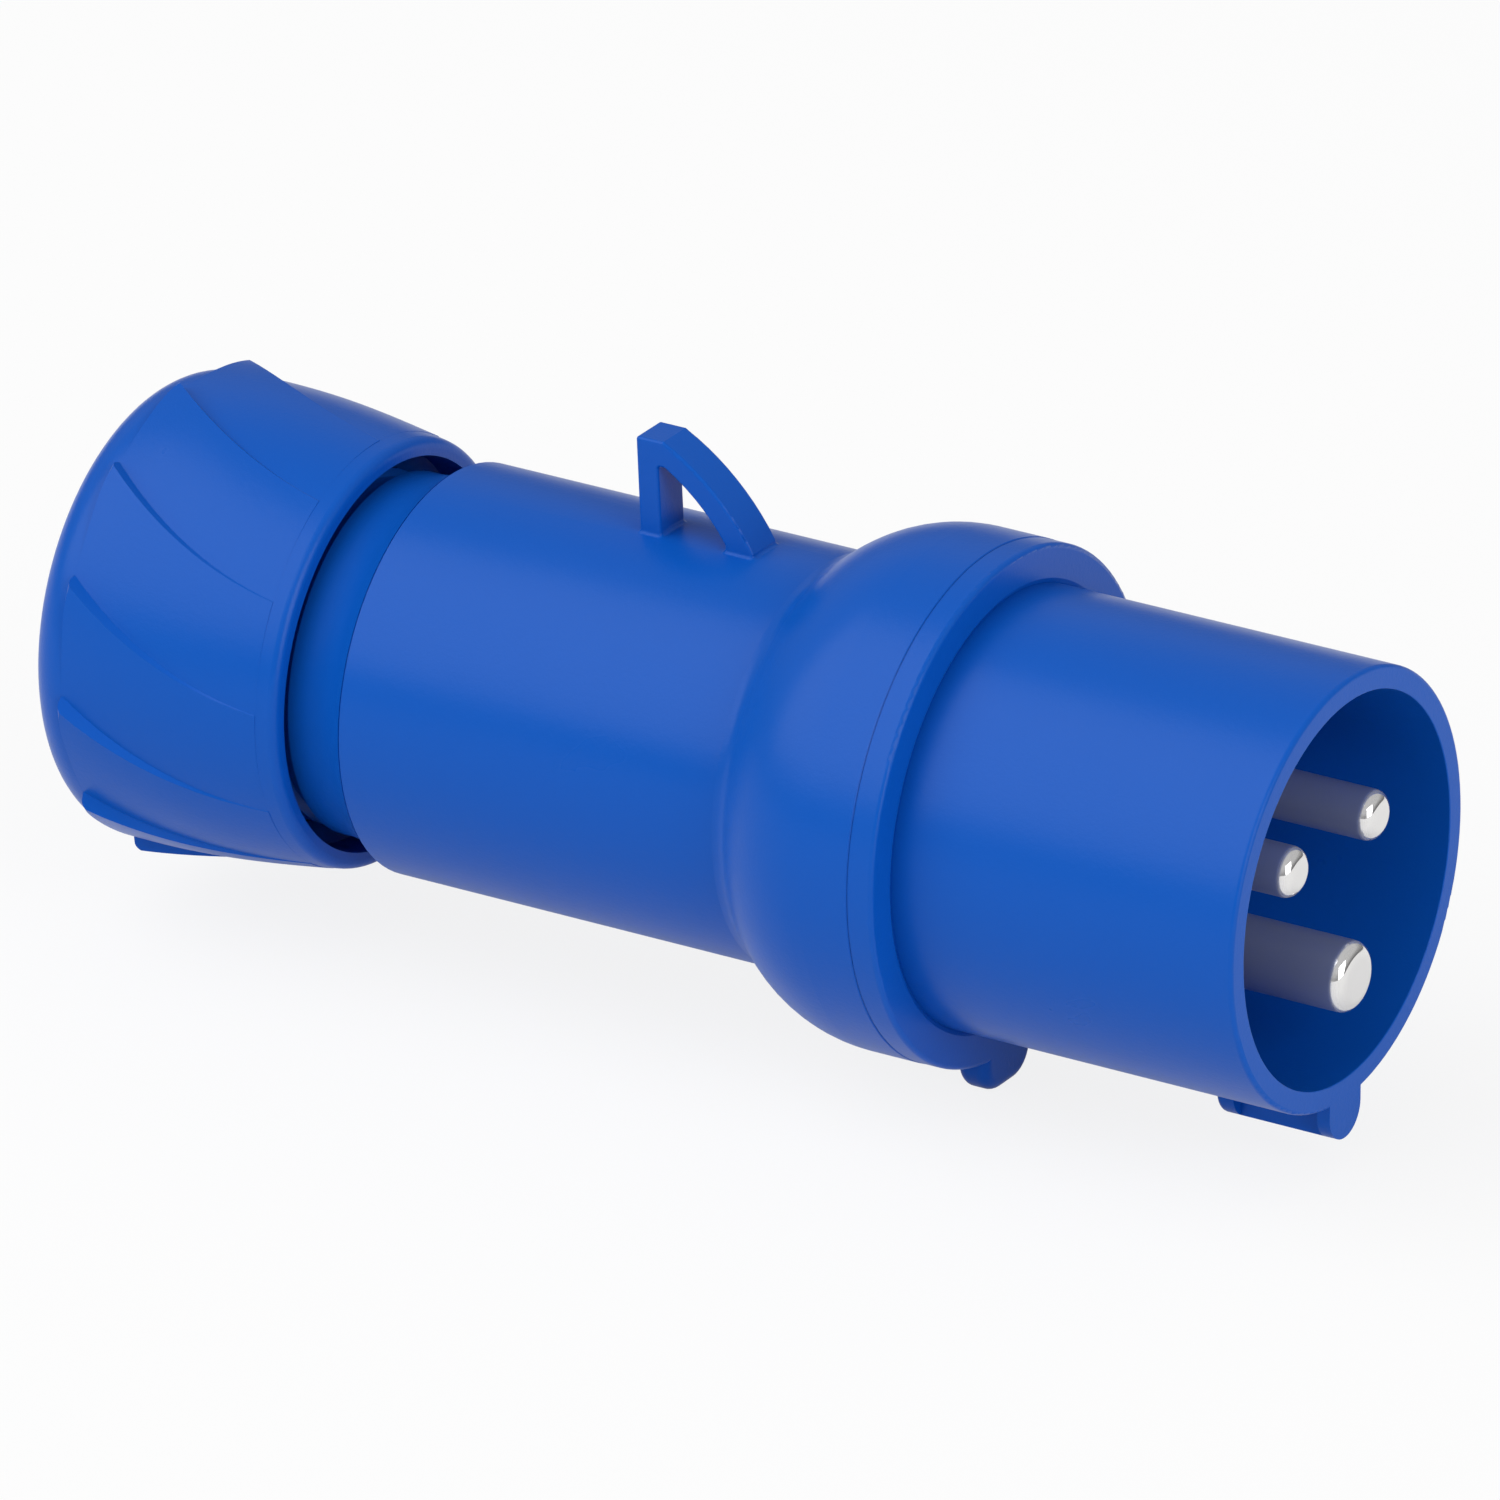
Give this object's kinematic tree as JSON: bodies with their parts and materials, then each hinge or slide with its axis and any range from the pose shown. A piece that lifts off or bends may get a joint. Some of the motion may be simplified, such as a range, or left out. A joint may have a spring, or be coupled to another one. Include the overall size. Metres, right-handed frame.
{
  "type": "industrial pin and sleeve plug",
  "caption": "Straight industrial pin and sleeve plug: round keyed shroud around earth, line and neutral pins, domed housing with a hanging loop, and a swirl-gripped cable gland nut.",
  "frame": {"origin": "on the plug's axis, in the flange's front face where the shroud starts", "axes": "+X along the axis and out of the open mouth, +Z towards the hanging loop, -Z towards the key, the latch lug and the earth pin"},
  "size_m": [0.1346, 0.0512, 0.0589],
  "materials": {
    "shell_blue": "satin moulded, fine texture",
    "contact_nickel": "nickel plated, polished",
    "screw_steel": "zinc plated",
    "carrier_grey": "satin moulded",
    "clamp_grey": "satin moulded",
    "washer_white": "smooth, self-coloured",
    "seal_rubber": "matte"
  },
  "bodies": {
    "front": {"front_shroud": "shell_blue", "front_seal_ring": "seal_rubber", "contact_carrier": "carrier_grey", "carrier_screw_1": "screw_steel", "carrier_screw_2": "screw_steel", "carrier_screw_3": "screw_steel", "line_pin": "contact_nickel", "neutral_pin": "contact_nickel", "earth_pin": "contact_nickel", "line_terminal_screw": "screw_steel", "neutral_terminal_screw": "screw_steel", "earth_terminal_screw": "screw_steel", "line_pressure_plate": "screw_steel", "neutral_pressure_plate": "screw_steel", "earth_pressure_plate": "screw_steel"},
    "housing": {"rear_housing": "shell_blue", "cable_seal_outer": "seal_rubber", "cable_seal_inner": "seal_rubber"},
    "clamp": {"clamp_cage": "clamp_grey", "thrust_washer": "washer_white"},
    "nut": {"gland_nut": "shell_blue"}
  },
  "joints": [
    {"name": "housing_twist", "type": "hinge", "parent": "front", "child": "housing", "pos_m": [0, 0, 0], "axis": [-1, 0, 0], "range_deg": [0, 30]},
    {"name": "nut_travel", "type": "slide", "parent": "housing", "child": "clamp", "axis": [1, 0, 0], "range_m": [-0.0045, 0.0025]},
    {"name": "nut_turn", "type": "hinge", "parent": "clamp", "child": "nut", "pos_m": [-0.085, 0, 0], "axis": [1, 0, 0], "range_deg": [-540, 300]}
  ],
  "couplings": [
    {"joint": "nut_travel", "follows": "nut_turn", "m_per_rad": 0.00047746}
  ]
}
